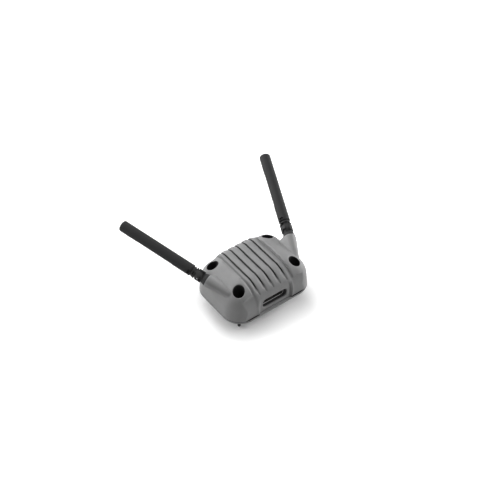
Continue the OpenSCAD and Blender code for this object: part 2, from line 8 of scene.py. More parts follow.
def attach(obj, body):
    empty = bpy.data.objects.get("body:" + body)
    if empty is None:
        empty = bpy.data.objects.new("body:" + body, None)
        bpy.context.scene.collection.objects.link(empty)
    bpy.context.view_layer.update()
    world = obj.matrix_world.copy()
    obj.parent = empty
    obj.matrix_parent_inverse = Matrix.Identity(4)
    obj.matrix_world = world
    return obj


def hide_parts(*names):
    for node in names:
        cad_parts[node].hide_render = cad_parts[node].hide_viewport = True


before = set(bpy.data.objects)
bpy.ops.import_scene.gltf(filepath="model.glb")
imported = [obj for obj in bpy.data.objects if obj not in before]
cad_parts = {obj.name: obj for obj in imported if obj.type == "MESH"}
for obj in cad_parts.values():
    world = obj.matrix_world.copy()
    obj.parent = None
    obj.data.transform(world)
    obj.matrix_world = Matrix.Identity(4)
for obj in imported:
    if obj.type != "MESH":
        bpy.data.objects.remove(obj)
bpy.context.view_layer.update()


# Base plate. A flat moulded plate of grey glass-filled plastic closes the housing and carries the board.
# It follows the foot of the shell, with softened edges and countersunk holes for the cover screws.
# All sizes are in millimetres, and MM turns them into the frame's metres.
MM = 0.001
foot_length, foot_width, foot_corner = 90.8, 68.5, 18.4
plate_thickness, plate_edge = 1.6, 0.3
stud_x, stud_y, stud_hole = 31.0, 19.75, 1.75
cover_screw_places = [(24, 28.5), (-24, 28.5), (24, -28.5), (-24, -28.5), (40.3, 0), (-40.3, 0)]
cover_hole, head_hole, head_depth = 1.45, 2.45, 1.25
smooth_below = math.radians(32)


def start_piece():
    """Leave edit mode and let go of every object, so that the next piece is shaped alone."""
    if bpy.context.object and bpy.context.object.mode == "EDIT":
        bpy.ops.object.mode_set(mode="OBJECT")
    bpy.ops.object.select_all(action="DESELECT")


def pick(piece):
    """Make one piece the only chosen and active object."""
    start_piece()
    piece.select_set(True)
    bpy.context.view_layer.objects.active = piece


def name_piece(name):
    """Name the active object and its mesh."""
    piece = bpy.context.object
    piece.name = name
    piece.data.name = name
    return piece


def settle(piece):
    """Put the place, turn and size of a piece into its mesh."""
    pick(piece)
    bpy.ops.object.transform_apply(location=True, rotation=True, scale=True)


def smooth(piece, below=smooth_below):
    """Shade a piece smooth, but keep the edges that turn more sharply crisp."""
    pick(piece)
    bpy.ops.object.shade_smooth_by_angle(angle=below)


def soften(piece, width, steps=2):
    """Break the hard edges of a finished piece, as a mould or a deburring tool leaves them."""
    pick(piece)
    edge = piece.modifiers.new("softened edges", "BEVEL")
    edge.width = width * MM
    edge.segments = steps
    edge.limit_method = "ANGLE"
    edge.angle_limit = math.radians(35)
    bpy.ops.object.modifier_apply(modifier=edge.name)
    smooth(piece)


def combine(piece, other, operation):
    """Work one piece with the shape of another, which is used up: DIFFERENCE, INTERSECT or UNION."""
    pick(piece)
    step = piece.modifiers.new("shape", "BOOLEAN")
    step.operation = operation
    step.solver = "EXACT"
    step.object = other
    bpy.ops.object.modifier_apply(modifier=step.name)
    bpy.data.objects.remove(other)


def cut_with(piece, cutter):
    """Machine one piece with the shape of another."""
    combine(piece, cutter, "DIFFERENCE")


def drill(radius, low, high, x=0, y=0, sides=48):
    """A round upright cutter between two heights."""
    start_piece()
    bpy.ops.mesh.primitive_cylinder_add(
        vertices=sides, radius=radius * MM, depth=(high - low) * MM,
        location=(x * MM, y * MM, (low + high) / 2 * MM))
    return bpy.context.object


def slab(length, width, corner, low, high, steps=24):
    """Plate with round corners in plan."""
    start_piece()
    bpy.ops.mesh.primitive_cube_add(
        size=MM, location=(0, 0, (low + high) / 2 * MM), scale=(length, width, high - low))
    piece = bpy.context.object
    bpy.ops.object.transform_apply(location=True, rotation=False, scale=True)
    bpy.ops.object.mode_set(mode="EDIT")
    bpy.ops.mesh.select_mode(type="EDGE")
    bpy.ops.mesh.select_all(action="DESELECT")
    bpy.ops.object.mode_set(mode="OBJECT")
    for edge in piece.data.edges:
        a, b = (piece.data.vertices[v].co for v in edge.vertices)
        edge.select = abs(a.z - b.z) > 1e-6
    bpy.ops.object.mode_set(mode="EDIT")
    bpy.ops.mesh.bevel(offset=corner * MM, segments=steps, affect="EDGES")
    bpy.ops.object.mode_set(mode="OBJECT")
    return piece


def finish_coat(name, colour, roughness, grain=0.25, relief=0.02, shade=0.06, metal=0.0, wear_and_highlight=0.0,
                brushed=None, specular=0.5, painted_shade_mask=None):
    """One finish: a colour with slight unevenness, its grain as bump, paler convex edges that are partly
    wearing and partly painted highlight, and painted shade where a mask is given.
    """
    cloud_scale, speck_strength, gloss_spread, bump_strength = 90, 0.12, 0.08, 0.5
    # Pointiness range and gain of the paler edges (partly wearing, partly painted highlight), and the share
    # of colour left in painted shade.
    wear_highlight_from, wear_highlight_to, wear_highlight_gain, wear_highlight_lift, painted_shade_share = 0.515, 0.57, 1.6, 0.06, 0.05
    coat = bpy.data.materials.new(name)
    coat.use_nodes = True
    tree = coat.node_tree
    nodes, links = tree.nodes, tree.links
    shader = nodes["Principled BSDF"]
    shader.inputs["Metallic"].default_value = metal
    shader.inputs["Specular IOR Level"].default_value = specular
    place = nodes.new("ShaderNodeTexCoord")
    lay = nodes.new("ShaderNodeMapping")
    if brushed:
        lay.inputs["Scale"].default_value = brushed
    links.new(place.outputs["Object"], lay.inputs["Vector"])
    cloud = nodes.new("ShaderNodeTexNoise")
    cloud.inputs["Scale"].default_value = cloud_scale
    cloud.inputs["Detail"].default_value = 5
    links.new(place.outputs["Object"], cloud.inputs["Vector"])
    fine = nodes.new("ShaderNodeTexNoise")
    fine.inputs["Scale"].default_value = 1000 / grain
    fine.inputs["Detail"].default_value = 3
    links.new(lay.outputs["Vector"], fine.inputs["Vector"])
    tint = nodes.new("ShaderNodeValToRGB")
    tint.color_ramp.elements[0].position = 0.3
    tint.color_ramp.elements[1].position = 0.7
    tint.color_ramp.elements[0].color = [c * (1 - shade) for c in colour] + [1]
    tint.color_ramp.elements[1].color = [min(1, c * (1 + shade)) for c in colour] + [1]
    links.new(cloud.outputs["Fac"], tint.inputs["Fac"])
    speck = nodes.new("ShaderNodeMix")
    speck.data_type = "RGBA"
    speck.blend_type = "MULTIPLY"
    speck.inputs["Factor"].default_value = speck_strength
    links.new(tint.outputs["Color"], speck.inputs["A"])
    links.new(fine.outputs["Color"], speck.inputs["B"])
    top = speck.outputs["Result"]
    # Paler convex edges from pointiness, broken up by the cloud: partly wearing and partly a painted
    # highlight along the edges.
    if wear_and_highlight:
        edge = nodes.new("ShaderNodeNewGeometry")
        wear_highlight_ramp = nodes.new("ShaderNodeMapRange")
        wear_highlight_ramp.inputs["From Min"].default_value = wear_highlight_from
        wear_highlight_ramp.inputs["From Max"].default_value = wear_highlight_to
        wear_highlight_ramp.inputs["To Max"].default_value = wear_and_highlight
        links.new(edge.outputs["Pointiness"], wear_highlight_ramp.inputs["Value"])
        broken = nodes.new("ShaderNodeMath")
        broken.operation = "MULTIPLY"
        links.new(wear_highlight_ramp.outputs["Result"], broken.inputs[0])
        links.new(cloud.outputs["Fac"], broken.inputs[1])
        wear_highlight_mix = nodes.new("ShaderNodeMix")
        wear_highlight_mix.data_type = "RGBA"
        links.new(broken.outputs["Value"], wear_highlight_mix.inputs["Factor"])
        links.new(top, wear_highlight_mix.inputs["A"])
        wear_highlight_mix.inputs["B"].default_value = [min(1, c * wear_highlight_gain + wear_highlight_lift) for c in colour] + [1]
        top = wear_highlight_mix.outputs["Result"]
    # Painted shade: where the mask asks for it, the colour is mixed towards a twentieth of itself.
    if painted_shade_mask:
        painted_shade_mix = nodes.new("ShaderNodeMix")
        painted_shade_mix.data_type = "RGBA"
        links.new(painted_shade_mask(tree, place.outputs["Object"]), painted_shade_mix.inputs["Factor"])
        links.new(top, painted_shade_mix.inputs["A"])
        painted_shade_mix.inputs["B"].default_value = [c * painted_shade_share for c in colour] + [1]
        top = painted_shade_mix.outputs["Result"]
    links.new(top, shader.inputs["Base Color"])
    gloss = nodes.new("ShaderNodeMapRange")
    gloss.inputs["To Min"].default_value = roughness - gloss_spread
    gloss.inputs["To Max"].default_value = roughness + gloss_spread
    links.new(cloud.outputs["Fac"], gloss.inputs["Value"])
    links.new(gloss.outputs["Result"], shader.inputs["Roughness"])
    bump = nodes.new("ShaderNodeBump")
    bump.inputs["Strength"].default_value = bump_strength
    bump.inputs["Distance"].default_value = relief * MM
    links.new(fine.outputs["Fac"], bump.inputs["Height"])
    links.new(bump.outputs["Normal"], shader.inputs["Normal"])
    return coat


def coat_node(node, coat):
    """Give a node of the frame its finish; the port's finishes also carry painted shade and a painted glint.
    """
    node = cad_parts[node]
    node.data.materials.clear()
    node.data.materials.append(coat)


plate_grey = finish_coat("plate moulding", (0.3, 0.3, 0.302), 0.55, grain=0.3, relief=0.03, wear_and_highlight=0.25)
base_plate = slab(foot_length, foot_width, foot_corner, 0, plate_thickness)
name_piece("base_plate_moulding")
soften(base_plate, plate_edge, steps=3)
for x in (-stud_x, stud_x):
    for y in (-stud_y, stud_y):
        cut_with(base_plate, drill(stud_hole, -1, 3, x, y, 32))
for x, y in cover_screw_places:
    cut_with(base_plate, drill(cover_hole, -1, 3, x, y, 32))
    cut_with(base_plate, drill(head_hole, -1, head_depth, x, y, 32))
base_plate.data.materials.append(plate_grey)
smooth(base_plate)
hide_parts("base_plate")
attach(base_plate, "housing")


# Sealing strip. A thin rubber gasket lies between plate and shell and shows as a fine dark line.
# It is a punched ring, a little inside the outline, with a notch where the front recess leaves no room.
seal_setback, seal_width, seal_top = 0.3, 7, 2.1
notch_length, notch_y, notch_depth = 36.4, -34, 4.4
rubber = finish_coat("sealing rubber", (0.022, 0.022, 0.023), 0.75, grain=0.15, relief=0.02, shade=0.15)
seal = slab(foot_length - 2 * seal_setback, foot_width - 2 * seal_setback, foot_corner - seal_setback,
            plate_thickness, seal_top)
name_piece("base_seal_strip")
inset = seal_setback + seal_width
cut_with(seal, slab(foot_length - 2 * inset, foot_width - 2 * inset, foot_corner - inset, 1, 3))
start_piece()
bpy.ops.mesh.primitive_cube_add(size=MM, location=(0, notch_y * MM, (plate_thickness + seal_top) / 2 * MM),
                                scale=(notch_length, notch_depth, 2))
cut_with(seal, bpy.context.object)
soften(seal, 0.08)
seal.data.materials.append(rubber)
smooth(seal)
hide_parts("base_seal")
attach(seal, "housing")


# Circuit board. Glass-fibre board on brass standoffs, with its radio can, processor and cable sockets.
# The nodes of the frame keep their shapes here, and only get the finish of their metal, laminate or plastic.
board_green = finish_coat("solder mask", (0.012, 0.075, 0.03), 0.35, grain=0.8, relief=0.02, shade=0.12)
brass = finish_coat("turned brass", (0.62, 0.42, 0.16), 0.32, grain=0.1, relief=0.004, metal=1.0,
                    brushed=(0.2, 1, 1))
bright_steel = finish_coat("zinc-plated steel", (0.5, 0.5, 0.52), 0.34, grain=0.12, relief=0.004, metal=1.0)
tinned = finish_coat("tinned sheet", (0.62, 0.62, 0.6), 0.3, grain=0.3, relief=0.004, metal=1.0)
package_black = finish_coat("chip package", (0.02, 0.02, 0.021), 0.6, grain=0.1, relief=0.01)
gilt = finish_coat("gilt contact", (0.78, 0.56, 0.24), 0.25, grain=0.1, relief=0.002, metal=1.0)
coat_node("main_board", board_green)
coat_node("board_standoffs", brass)
coat_node("board_screws", bright_steel)
coat_node("shield_can", tinned)
coat_node("processor_chip", package_black)
coat_node("rf_sockets", gilt)
coat_node("rf_plugs", gilt)


# Aerial feed cables. Thin screened leads run from the board through a duct into each antenna stem.
# Their sheath is smooth black plastic.
lead_black = finish_coat("cable sheath", (0.03, 0.03, 0.03), 0.5, grain=0.2, relief=0.01)
coat_node("left_coax", lead_black)
coat_node("right_coax", lead_black)


# Port. A drawn metal shell around two rows of gilt contacts in a black body, sealed to the front wall.
# The shell's rim is coloured near white as a painted glint, and behind the rim the shell turns to painted
# shade.
painted_shade_start_y, painted_shade_full_y = -28.25, -27.9


def sums(tree, operation, *values):
    """One step of arithmetic in a finish."""
    step = tree.nodes.new("ShaderNodeMath")
    step.operation = operation
    for socket, value in zip(step.inputs, values):
        if isinstance(value, (int, float)):
            socket.default_value = value
        else:
            tree.links.new(value, socket)
    return step.outputs[0]


def passage(tree, value, start, end):
    """0 before start, 1 after end, with a smooth passage."""
    ramp = tree.nodes.new("ShaderNodeMapRange")
    ramp.interpolation_type = "SMOOTHSTEP"
    ramp.inputs["From Min"].default_value = start
    ramp.inputs["From Max"].default_value = end
    tree.links.new(value, ramp.inputs["Value"])
    return ramp.outputs["Result"]


def place_along(tree, place, axis):
    """One coordinate of a place on the object, in millimetres."""
    split = tree.nodes.new("ShaderNodeSeparateXYZ")
    tree.links.new(place, split.inputs[0])
    return sums(tree, "MULTIPLY", split.outputs[axis], 1 / MM)


def painted_shade_behind_rim(tree, place):
    """Share of painted shade on the inside of the port shell."""
    return passage(tree, place_along(tree, place, 1), painted_shade_start_y, painted_shade_full_y)


# Near-white matte colour in place of metal: a painted glint on the rim, with painted shade behind it.
port_steel_glint_and_shade = finish_coat("drawn connector steel", (0.95, 0.95, 0.95), 0.35, grain=0.05, relief=0.004,
                         painted_shade_mask=painted_shade_behind_rim)
# Black moulding, its colour darkened further to near black as painted shade inside the slot.
port_body_black_and_shade = finish_coat("connector body", (0.008, 0.008, 0.008), 0.7, grain=0.12, relief=0.008, specular=0.2)
coat_node("port_gasket", rubber)
coat_node("port_insulator", port_body_black_and_shade)
# Gilt contacts coloured near black: painted shade inside the slot.
gilt_in_painted_shade = finish_coat("contact in the shade", (0.04, 0.028, 0.012), 0.5, grain=0.1, relief=0.002)
coat_node("port_contacts", gilt_in_painted_shade)
coat_node("port_shell", port_steel_glint_and_shade)


# Upper housing. One thick-walled moulding in grey glass-filled plastic: a crowned shell with a sunk ribbed
# field, four deep screw wells, a recessed front with the port slot, and a fairing under each antenna.
# Its shoulders, fairings and run-out ribs melt into each other, so its skin is worked out from those forms.
crown_top, crown_arc, draft = 33.4, 22.8, math.radians(5.5)
flat_x, flat_y, corner_step = 21.47, 10.32, 5.53
back_shift, back_tighter, dome_power = 9.0, 9.9, 2.717
back_plain, back_full, dome_to, square_from = 27, 12, 8, 20
# The field rolls over in front and behind: place of each axle along y and z, and its radius.
front_axle_y, front_axle_z, front_roll = -11.12, 8.7, 22.8
back_axle_y, back_axle_z, back_roll = 21.2, 20.5, 11
field_edge, field_top = 21.5, 31.5
field_droop, droop_from, droop_to = 0.8, 17.4, 21.3
rib_pitch, groove_depth, groove_half = 7.67, 2.0, 0.66
groove_pinch, groove_draft, groove_flare = 0.4, 0.05, 1.3
# A groove runs out, opens and loses its lip between these turns over the front and the back roll, in degrees.
front_run_out, front_open, front_lip = (35, 54), (38, 53), (51, 56)
back_run_out, back_open, back_lip = (60, 85), (55, 80), (80, 90)
# Each rib slopes gently on its right side and steeply on its left: how far from the groove, and how much.
level_y, level_half, gentle_slope, end_slope, gentle_reach = 0.5, 11.8, 0.5, 0.4, 2.7
steep_slope, steep_reach, gentle_length, steep_length, slope_overlap = 0.85, 1.4, 1.12, 1.31, 0.1
mouth = np.array([46.0, 6.6, 30.1])
aerial_axis = np.array([0.371553, 0.892576, 0.255446])
mouth_radius, mouth_bore, bore_depth, seat_slope, boss_length, boss_fillet = 5.8, 3.85, 8.6, 0.25, 2, 1.8
# The fairing stretches to a nose on the shoulder and to an inner web: how far from the mouth, and how round.
to_nose, nose_radius, to_web, web_radius = [8.2, 19.6, 5], 3.3, [8.2, -1, 5], 3.2
recess_half, recess_y, recess_round = 18.8, -32.0, 3.4
slot_half, slot_z, slot_rise, slot_round, slot_end = 13.5, 10.3, 5.2, 4.2, -18
well_radius, well_floor, well_edge, shell_foot = 5.25, 7, 0.75, 2.1
wall, field_wall, hollow_half, post_radius, cover_post = 2.5, 3.2, 22.8, 7.45, 3.0
ceiling, solid_above, corner_fill = 30.4, 27, 0.5


def ease(start, end, value):
    """0 before start, 1 after end, and a smooth passage between."""
    t = np.clip((value - start) / (end - start), 0, 1)
    return t * t * (3 - 2 * t)


def meet(a, b, fillet):
    """Join two forms with a fillet."""
    h = np.maximum(fillet - np.abs(a - b), 0) / fillet
    return np.minimum(a, b) - h * h * fillet / 4


def carve(a, b, edge):
    """Keep what lies in both forms, with the edge between them rounded."""
    return -meet(-a, -b, edge)


def crown(x, y, z):
    """The plain crowned form: rolled shoulders over drafted walls, fuller behind the ribs."""
    along, back = np.abs(x), y > 0
    full = ease(back_plain, back_full, along) * back
    reach = flat_y + full * back_shift
    across = np.abs(y)
    arc = crown_arc - full * back_tighter
    hub = crown_top - arc
    u, v = np.maximum(along - flat_x, 0), np.maximum(across - reach, 0)
    square = (corner_step + np.hypot(np.maximum(along - flat_x - corner_step, 0),
                                     np.maximum(across - reach - corner_step, 0))
              + np.minimum(np.maximum(along - flat_x, across - reach) - corner_step, 0))
    dome = (u ** dome_power + v ** dome_power) ** (1 / dome_power)
    out = dome + (square - dome) * ease(dome_to, square_from, square)
    turn = hub + arc * math.sin(draft)
    side = (out - arc * math.cos(draft) - (turn - z) * math.tan(draft)) * math.cos(draft)
    shoulder = np.hypot(np.maximum(out, 0), z - hub) - arc
    return np.where(z - hub > out * math.tan(draft), shoulder, side)


def field_face(y, z):
    """Height over the plain sunk face that carries the ribs."""
    front, back = y - front_axle_y, y - back_axle_y
    rolled_front = np.where(z > front_axle_z, np.hypot(front, z - front_axle_z) - front_roll,
                            -front - front_roll)
    rolled_back = np.where(z > back_axle_z, np.hypot(back, z - back_axle_z) - back_roll,
                           back - back_roll - (back_axle_z - z) * math.tan(draft))
    return np.where(front < 0, rolled_front, np.where(back > 0, rolled_back, z - field_top))


def ribs(body, x, y, z):
    """Sink the field between the domed ends, and run five grooves over it."""
    face = field_face(y, z)
    sunk = face + field_droop * ease(droop_from, droop_to, np.abs(x))
    body = meet(carve(body, field_edge - np.abs(x), 1.5), carve(body, sunk, 0.25), 0.4)
    front_turn = np.degrees(np.arctan2(np.maximum(front_axle_y - y, 0), np.maximum(z - front_axle_z, 0.01)))
    back_turn = np.degrees(np.arctan2(np.maximum(y - back_axle_y, 0), np.maximum(z - back_axle_z, 0.01)))
    run_out = np.maximum(ease(*front_run_out, front_turn), ease(*back_run_out, back_turn))
    open_up = np.maximum(ease(*front_open, front_turn), ease(*back_open, back_turn))
    deep = groove_depth * (1 - run_out)
    foot = groove_half - groove_pinch * open_up
    flare = groove_draft + groove_flare * open_up
    lip = 1 - np.maximum(ease(*front_lip, front_turn), ease(*back_lip, back_turn))
    gentle = np.where(np.abs(y - level_y) < level_half, gentle_slope, end_slope) * (1 - open_up)
    steep = steep_slope * lip
    for i in range(-2, 3):
        u = x - i * rib_pitch
        side = (np.abs(u) - foot - np.maximum(sunk + deep, 0) * flare) / np.sqrt(1 + flare * flare)
        body = carve(body, -carve(side, -(sunk + deep), 0.35), 0.3)
        right_side = np.minimum((sunk + gentle * (gentle_reach + u)) / gentle_length, slope_overlap - u)
        left_side = np.minimum((sunk + steep * (steep_reach - u)) / steep_length, u + slope_overlap)
        body = carve(carve(body, right_side, 0.12), left_side, 0.12)
    return body


def ways(count):
    """Evenly spread directions, to wrap a taut skin round a few round forms."""
    i = np.arange(count) + 0.5
    tilt, turn = np.arccos(1 - 2 * i / count), math.pi * (1 + 5 ** 0.5) * i
    return np.stack([np.cos(turn) * np.sin(tilt), np.sin(turn) * np.sin(tilt), np.cos(tilt)], 1)


def fairing(x, y, z):
    """Skin stretched over the boss mouth, the nose on the shoulder and the inner web."""
    normals = ways(1800)
    lean = normals @ aerial_axis
    rim = mouth_radius * np.sqrt(np.maximum(1 - lean ** 2, 0))
    nose = normals @ (mouth - to_nose) + nose_radius
    web = normals @ (mouth - to_web) + web_radius
    boss = normals @ mouth + np.maximum(0, -boss_length * lean) + rim
    reach = np.maximum(boss, np.maximum(nose, web))
    points = np.stack([np.abs(x), y, z], -1).reshape(-1, 3)
    skin = np.empty(len(points))
    batch = 20000
    for start in range(0, len(points), batch):
        skin[start:start + batch] = (points[start:start + batch] @ normals.T - reach).max(1)
    return skin.reshape(np.shape(x))


def near_boss(x, y, z):
    """Where the fairing can matter, so that it is measured only there."""
    return (np.abs(x) > 28) & (y > -24) & (y < 18) & (z > 12)


def rounded(a, b, radius):
    """Inside of a corner between two faces, rounded to a radius."""
    a, b = a + radius, b + radius
    return np.hypot(np.maximum(a, 0), np.maximum(b, 0)) + np.minimum(np.maximum(a, b), 0) - radius


def housing_form(x, y, z):
    """Distance to the outside of the whole moulding, in millimetres, below zero inside."""
    x, y, z = np.broadcast_arrays(x, y, z)
    body = ribs(crown(x, y, z), x, y, z)
    near = near_boss(x, y, z)
    boss = fairing(x[near], y[near], z[near])
    away = np.stack([np.abs(x[near]), y[near], z[near]], -1) - mouth
    above = away @ aerial_axis
    joined = meet(body[near], carve(boss, above, 0.5), boss_fillet)
    from_axis = np.sqrt(np.maximum((away ** 2).sum(-1) - above ** 2, 0))
    joined = carve(joined, -np.maximum(from_axis - mouth_bore, -bore_depth - above), 0.2)
    joined = carve(joined, -np.maximum(from_axis - mouth_radius - seat_slope * above, -above), 0.3)
    body = body.copy()
    body[near] = joined
    body = carve(body, -rounded(np.abs(x) - recess_half, y - recess_y, recess_round), 0.5)
    slot = rounded(np.abs(x) - slot_half, np.abs(z - slot_z) - slot_rise, slot_round)
    body = carve(body, -np.maximum(slot, y - slot_end), 0.5)
    post = np.hypot(np.abs(x) - stud_x, np.abs(y) - stud_y)
    body = carve(body, -np.maximum(post - well_radius, well_floor - z), well_edge)
    body = np.maximum(body, -np.maximum(post - stud_hole, z - well_floor - 0.5))
    return carve(body, shell_foot - z, 0.35)


def cavity_form(x, y, z):
    """Distance to the hollow inside, below zero in the hollow."""
    x, y, z = np.broadcast_arrays(x, y, z)
    under_field = np.minimum(field_face(y, z) + field_wall, hollow_half - np.abs(x))
    hollow = np.maximum(crown(x, y, z) + wall, under_field)
    hollow = carve(hollow, -np.maximum(np.abs(x) - recess_half - wall, y - recess_y - wall), 1)
    post = np.hypot(np.abs(x) - stud_x, np.abs(y) - stud_y)
    hollow = carve(hollow, post_radius - post, 1)
    hollow = np.maximum(hollow, np.minimum(np.abs(x) - stud_x, np.abs(y) - stud_y) + corner_fill)
    for px, py in cover_screw_places:
        hollow = carve(hollow, cover_post - np.hypot(x - px, y - py), 0.8)
    hollow = np.maximum(np.maximum(hollow, z - ceiling), -0.5 - z)
    return np.where(near_boss(x, y, z) & (z > solid_above), 1.0, hollow)


def grid_lines(*runs):
    """Lines of a measuring grid: each run has its start, end and spacing."""
    marks = [np.linspace(a, b, max(1, int(round((b - a) / step))) + 1) for a, b, step in runs]
    return np.unique(np.round(np.concatenate(marks), 5))


def cast_skin(name, form, xs, ys, zs):
    """Mesh the surface of a form: one point in each cell it passes through, moved on to the surface."""
    rounds, reach, longest_move, least_slope = 3, 0.02, 0.12, 0.2
    axes = (xs, ys, zs)
    value = form(xs[:, None, None], ys[None, :, None], zs[None, None, :])
    cells = tuple(n - 1 for n in value.shape)
    total, count = np.zeros((int(np.prod(cells)), 3)), np.zeros(int(np.prod(cells)))
    crossings = []
    for a in range(3):
        b, c = (a + 1) % 3, (a + 2) % 3
        low = np.take(value, range(value.shape[a] - 1), axis=a)
        high = np.take(value, range(1, value.shape[a]), axis=a)
        at = np.argwhere((low < 0) != (high < 0))
        f0, f1 = low[tuple(at.T)], high[tuple(at.T)]
        point = np.stack([axes[d][at[:, d]] for d in range(3)], 1)
        point[:, a] += f0 / (f0 - f1) * (axes[a][at[:, a] + 1] - axes[a][at[:, a]])
        around = []
        for db, dc in ((-1, -1), (0, -1), (0, 0), (-1, 0)):
            cell = at.copy()
            cell[:, b] += db
            cell[:, c] += dc
            inside = ((cell >= 0) & (cell < cells)).all(1)
            flat = np.where(inside, np.ravel_multi_index(np.clip(cell, 0, np.array(cells) - 1).T, cells), -1)
            for d in range(3):
                total[:, d] += np.bincount(flat[inside], point[inside, d], len(total))
            count += np.bincount(flat[inside], minlength=len(count))
            around.append(flat)
        around = np.stack(around, 1)
        whole = (around >= 0).all(1)
        crossings.append(np.where((f0 < 0)[whole, None], around[whole], around[whole][:, ::-1]))
    used = np.flatnonzero(count)
    points = total[used] / count[used, None]
    number = np.full(len(count), -1)
    number[used] = np.arange(len(used))
    faces = number[np.concatenate(crossings)]
    for _ in range(rounds):
        here = form(*points.T)
        ahead, behind = ([form(*(points + step).T) for step in np.eye(3) * way] for way in (reach, -reach))
        slope = (np.stack(ahead, 1) - np.stack(behind, 1)) / (2 * reach)
        move = here[:, None] * slope / np.maximum((slope ** 2).sum(1), least_slope)[:, None]
        points -= np.clip(move, -longest_move, longest_move)
    mesh = bpy.data.meshes.new(name)
    mesh.from_pydata((points * MM).tolist(), [], faces.tolist())
    mesh.update()
    piece = bpy.data.objects.new(name, mesh)
    bpy.context.scene.collection.objects.link(piece)
    return piece


# The grid is finest where a groove, an edge or a boss mouth crosses it.
x_runs = [(-52, -37, 0.55), (-37, -25, 0.5), (-25, -18.14, 0.45),
          (17.04, 25, 0.4), (25, 37, 0.5), (37, 52, 0.55)]
x_runs += [(i * rib_pitch - 2.8, i * rib_pitch + 1.7, 0.28) for i in range(-2, 3)]
x_runs += [(i * rib_pitch + 1.7, (i + 1) * rib_pitch - 2.8, 0.7) for i in range(-2, 2)]
y_runs = [(-35.2, -26, 0.5), (-26, -14, 0.5), (-14, -12, 1), (-12, -10.6, 0.28), (-10.6, 0.4, 1.1),
          (0.4, 11.6, 0.5), (11.6, 13, 0.28), (13, 14, 0.5), (14, 26, 0.5), (26, 35.2, 0.6)]
z_runs = [(1.7, 2.6, 0.22), (2.6, 4.6, 0.7), (4.6, 6.2, 0.4), (6.2, 14.5, 1.1), (14.5, 16.4, 0.42),
          (16.4, 22, 0.7), (22, 33.8, 0.45), (33.8, 37.4, 0.6)]
housing = cast_skin(
    "upper_housing_moulding", housing_form, grid_lines(*x_runs), grid_lines(*y_runs), grid_lines(*z_runs))
core = cast_skin("housing_core", cavity_form, grid_lines((-46, 46, 1.5)), grid_lines((-36, 36, 1.5)),
                 grid_lines((-1, 32, 1.5)))
cut_with(housing, core)


def hypotenuse(tree, a, b):
    """Length of the long side over two short ones."""
    return sums(tree, "SQRT", sums(tree, "ADD", sums(tree, "MULTIPLY", a, a), sums(tree, "MULTIPLY", b, b)))


def product(tree, *values):
    """Several shares multiplied, left to right."""
    total = values[0]
    for value in values[1:]:
        total = sums(tree, "MULTIPLY", total, value)
    return total


def painted_shade_in_depths(tree, place):
    """Painted shade where light hardly reaches: wells, groove bottoms, the left edge of the field, the port
    slot and the right corner of the recess."""
    x, y, z = (place_along(tree, place, axis) for axis in range(3))
    along, across = sums(tree, "ABSOLUTE", x), sums(tree, "ABSOLUTE", y)
    post = hypotenuse(tree, sums(tree, "SUBTRACT", along, stud_x), sums(tree, "SUBTRACT", across, stud_y))
    well = product(tree, passage(tree, post, 5.5, 5.22), passage(tree, z, 33, 30))
    front = sums(tree, "MINIMUM", sums(tree, "SUBTRACT", y, front_axle_y), 0)
    back = sums(tree, "MAXIMUM", sums(tree, "SUBTRACT", y, back_axle_y), 0)
    front_out = hypotenuse(tree, front, sums(tree, "SUBTRACT", z, front_axle_z))
    back_out = hypotenuse(tree, back, sums(tree, "SUBTRACT", z, back_axle_z))
    over_face = sums(tree, "MAXIMUM", sums(tree, "SUBTRACT", front_out, front_roll),
                     sums(tree, "SUBTRACT", back_out, back_roll))
    groove = product(tree, passage(tree, over_face, -0.3, -1.5), passage(tree, z, 23.5, 27.5),
                     passage(tree, along, 21.9, 21.3))
    band = product(tree, passage(tree, along, 18.6, 19.6), passage(tree, along, 22.4, 21.4),
                   passage(tree, z, 21, 27), 0.45, passage(tree, x, 1, -1))
    slot = product(tree, passage(tree, y, -31.2, -29.6), passage(tree, y, -19, -21),
                   passage(tree, z, 16.5, 15.9), passage(tree, along, 14.5, 14))
    corner = product(tree, passage(tree, x, 15.2, 17), passage(tree, x, 20.4, 19.4),
                     passage(tree, y, -30, -31), passage(tree, z, 22, 17), 0.6)
    dark = well
    for share in (groove, band, slot, corner):
        dark = sums(tree, "MAXIMUM", dark, share)
    return dark


# The grey moulding carries painted shade in its wells, groove bottoms, the left edge of the field, the port
# slot and the recess corner.
shell_grey = finish_coat("grey moulding", (0.33, 0.33, 0.332), 0.5, grain=0.35, relief=0.03, wear_and_highlight=0.25,
                         painted_shade_mask=painted_shade_in_depths)
housing.data.materials.append(shell_grey)
smooth(housing, math.radians(40))
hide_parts("upper_housing")
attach(housing, "housing")


# Cover screws. Six countersunk screws of zinc-plated steel hold the base plate to posts inside the shell.
# They keep the shape of their node.
coat_node("cover_screws", bright_steel)


# Mounting screws. Four long socket-head screws of blackened steel stand in the corner wells, each on a plain
# washer, and reach down through the base. The thread is a real helix below a plain neck, and the head has a
# hexagon socket.
screw_seat, screw_tip, head_top, thread_top, pitch = 8.0, -17.0, 11.0, -0.2, 0.5
shank_radius, thread_core, thread_radius, head_radius, socket_radius = 1.3, 1.24, 1.5, 2.75, 1.44
washer_low, washer_high, washer_radius, washer_hole = 7.02, 7.98, 4.25, 1.6
screw_black = finish_coat("blackened steel", (0.03, 0.03, 0.031), 0.42, grain=0.12, relief=0.006,
                          metal=0.6, wear_and_highlight=0.2)


def face_outwards(piece):
    """Turn every face of a closed piece outwards."""
    pick(piece)
    bpy.ops.object.mode_set(mode="EDIT")
    bpy.ops.mesh.select_all(action="SELECT")
    bpy.ops.mesh.normals_make_consistent(inside=False)
    bpy.ops.object.mode_set(mode="OBJECT")


